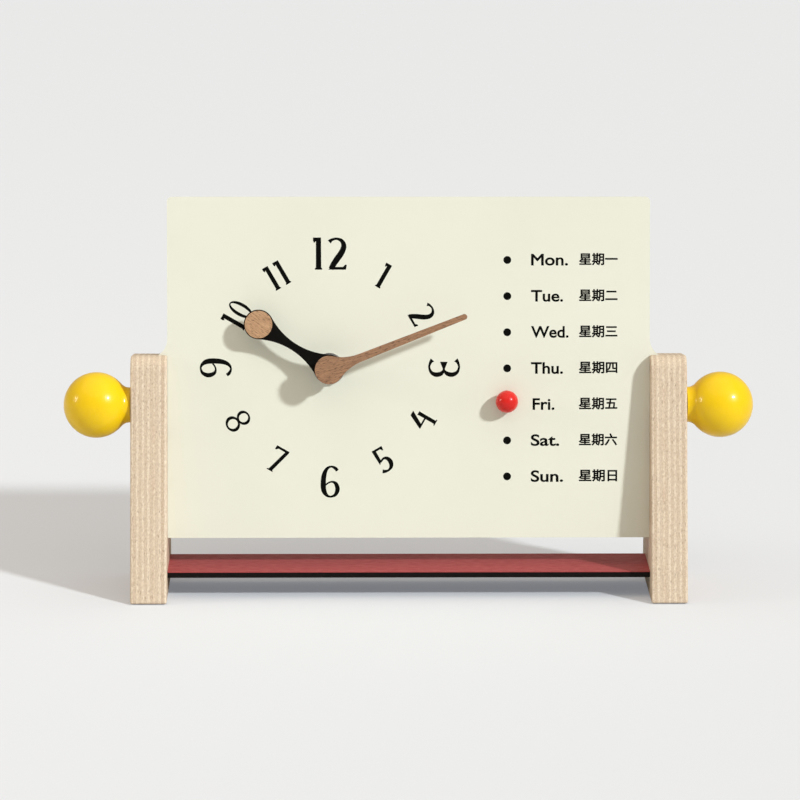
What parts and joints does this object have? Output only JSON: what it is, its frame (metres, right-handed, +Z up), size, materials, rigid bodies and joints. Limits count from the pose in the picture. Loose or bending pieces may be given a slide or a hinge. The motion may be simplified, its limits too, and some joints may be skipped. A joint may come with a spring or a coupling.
{
  "type": "desk clock with weekday calendar",
  "caption": "Desk clock: leaning steel dial panel held in grooves of two plywood legs by ball clamp knobs, with shelf, quartz movement, two hands and a magnetic day marker.",
  "frame": {"origin": "on the table, under the middle of the two legs", "axes": "+X to the viewer's right along the dial panel, +Y to the back, +Z up"},
  "size_m": [0.286, 0.0538, 0.1636],
  "materials": {
    "plywood": "clear matt lacquer on birch plywood",
    "shelf_black": "black compact board",
    "shelf_red": "satin red laminate",
    "felt": "felt",
    "brass": "turned",
    "nylon": "natural nylon",
    "steel": "zinc plated",
    "knob_yellow": "gloss yellow lacquer on turned beech",
    "panel_cream": "satin cream powder coat on sheet steel",
    "marker_red": "gloss red",
    "magnet": "nickel plated neodymium",
    "hand_black": "satin black",
    "hand_oak": "oiled veneer",
    "hand_walnut": "oiled walnut veneer",
    "rubber": "matt",
    "case_black": "moulded, fine texture",
    "board_green": "solder mask",
    "copper": "enamelled copper wire",
    "gear_plastic": "acetal",
    "cell": "plain printed sleeve on a steel can, mass of an AA cell"
  },
  "bodies": {
    "stand": {"left_leg": "plywood", "right_leg": "plywood", "shelf_board": "shelf_black", "shelf_sheet": "shelf_red", "foot_pads": "felt", "left_insert": "brass", "right_insert": "brass"},
    "panel": {"dial_panel": "panel_cream", "fixing_nut": "steel", "fixing_washer": "steel", "threaded_bush": "brass", "gasket": "rubber", "movement_case": "case_black", "movement_cover": "case_black", "circuit_board": "board_green", "drive_coil": "copper", "stator": "steel", "positive_contact": "steel", "negative_contact": "steel"},
    "marker": {"day_marker_ball": "marker_red", "day_marker_magnet": "magnet"},
    "minute": {"minute_hand": "hand_walnut", "minute_arbor": "brass"},
    "hour": {"hour_hand": "hand_black", "hour_hand_disc": "hand_oak", "hour_wheel": "brass"},
    "motion": {"motion_wheel": "gear_plastic"},
    "setter": {"setting_knob": "case_black"},
    "rotor": {"rotor": "steel"},
    "fifth": {"fifth_wheel": "gear_plastic"},
    "fourth": {"fourth_wheel": "gear_plastic"},
    "third": {"third_wheel": "gear_plastic"},
    "centre": {"centre_wheel": "gear_plastic"},
    "cell": {"battery": "cell"},
    "left_clamp": {"left_clamp_shoe": "nylon"},
    "right_clamp": {"right_clamp_shoe": "nylon"},
    "left_knob": {"left_knob": "knob_yellow", "left_clamp_stud": "steel"},
    "right_knob": {"right_knob": "knob_yellow", "right_clamp_stud": "steel"}
  },
  "joints": [
    {"name": "panel_lift", "type": "slide", "parent": "stand", "child": "panel", "axis": [0, 0.1564, 0.9877], "range_m": [0, 0.078]},
    {"name": "marker_slide", "type": "slide", "parent": "panel", "child": "marker", "axis": [0, 0.1564, 0.9877], "range_m": [-0.02994, 0.05988]},
    {"name": "minute_hand_turn", "type": "hinge", "parent": "panel", "child": "minute", "pos_m": [-0.033, 0.00331, 0.09324], "axis": [0, 0.9877, -0.1564], "continuous": true},
    {"name": "hour_hand_turn", "type": "hinge", "parent": "panel", "child": "hour", "pos_m": [-0.033, 0.00331, 0.09324], "axis": [0, 0.9877, -0.1564], "continuous": true},
    {"name": "motion_wheel_turn", "type": "hinge", "parent": "panel", "child": "motion", "pos_m": [-0.02307, 0.0044, 0.10011], "axis": [0, 0.9877, -0.1564], "continuous": true},
    {"name": "setting_knob_turn", "type": "hinge", "parent": "panel", "child": "setter", "pos_m": [-0.01168, 0.00504, 0.1042], "axis": [0, 0.9877, -0.1564], "continuous": true},
    {"name": "rotor_turn", "type": "hinge", "parent": "panel", "child": "rotor", "pos_m": [-0.04696, 0.00669, 0.1146], "axis": [0, 0.9877, -0.1564], "continuous": true},
    {"name": "fifth_wheel_turn", "type": "hinge", "parent": "panel", "child": "fifth", "pos_m": [-0.04696, 0.00583, 0.10915], "axis": [0, 0.9877, -0.1564], "continuous": true},
    {"name": "fourth_wheel_turn", "type": "hinge", "parent": "panel", "child": "fourth", "pos_m": [-0.04831, 0.00462, 0.10154], "axis": [0, 0.9877, -0.1564], "continuous": true},
    {"name": "third_wheel_turn", "type": "hinge", "parent": "panel", "child": "third", "pos_m": [-0.03882, 0.00488, 0.1032], "axis": [0, 0.9877, -0.1564], "continuous": true},
    {"name": "centre_wheel_turn", "type": "hinge", "parent": "panel", "child": "centre", "pos_m": [-0.033, 0.00331, 0.09324], "axis": [0, 0.9877, -0.1564], "continuous": true},
    {"name": "battery_out", "type": "slide", "parent": "panel", "child": "cell", "axis": [0, 0.9877, -0.1564], "range_m": [0, 0.02]},
    {"name": "left_clamp_travel", "type": "slide", "parent": "stand", "child": "left_clamp", "axis": [-1, 0, 0], "range_m": [0, 0.001]},
    {"name": "left_knob_turn", "type": "hinge", "parent": "left_clamp", "child": "left_knob", "pos_m": [-0.1294, 0.00146, 0.07835], "axis": [-1, 0, 0], "range_deg": [0, 510]},
    {"name": "right_clamp_travel", "type": "slide", "parent": "stand", "child": "right_clamp", "axis": [1, 0, 0], "range_m": [0, 0.001]},
    {"name": "right_knob_turn", "type": "hinge", "parent": "right_clamp", "child": "right_knob", "pos_m": [0.1294, 0.00146, 0.07835], "axis": [1, 0, 0], "range_deg": [0, 510]}
  ],
  "couplings": [
    {"joint": "hour_hand_turn", "follows": "minute_hand_turn", "ratio": 0.083333},
    {"joint": "motion_wheel_turn", "follows": "minute_hand_turn", "ratio": -0.33333},
    {"joint": "setting_knob_turn", "follows": "minute_hand_turn", "ratio": 1},
    {"joint": "third_wheel_turn", "follows": "centre_wheel_turn", "ratio": -8},
    {"joint": "fourth_wheel_turn", "follows": "centre_wheel_turn", "ratio": 60},
    {"joint": "fifth_wheel_turn", "follows": "centre_wheel_turn", "ratio": -360},
    {"joint": "rotor_turn", "follows": "centre_wheel_turn", "ratio": 1800},
    {"joint": "left_clamp_travel", "follows": "left_knob_turn", "m_per_rad": 0.00011141},
    {"joint": "right_clamp_travel", "follows": "right_knob_turn", "m_per_rad": 0.00011141}
  ]
}
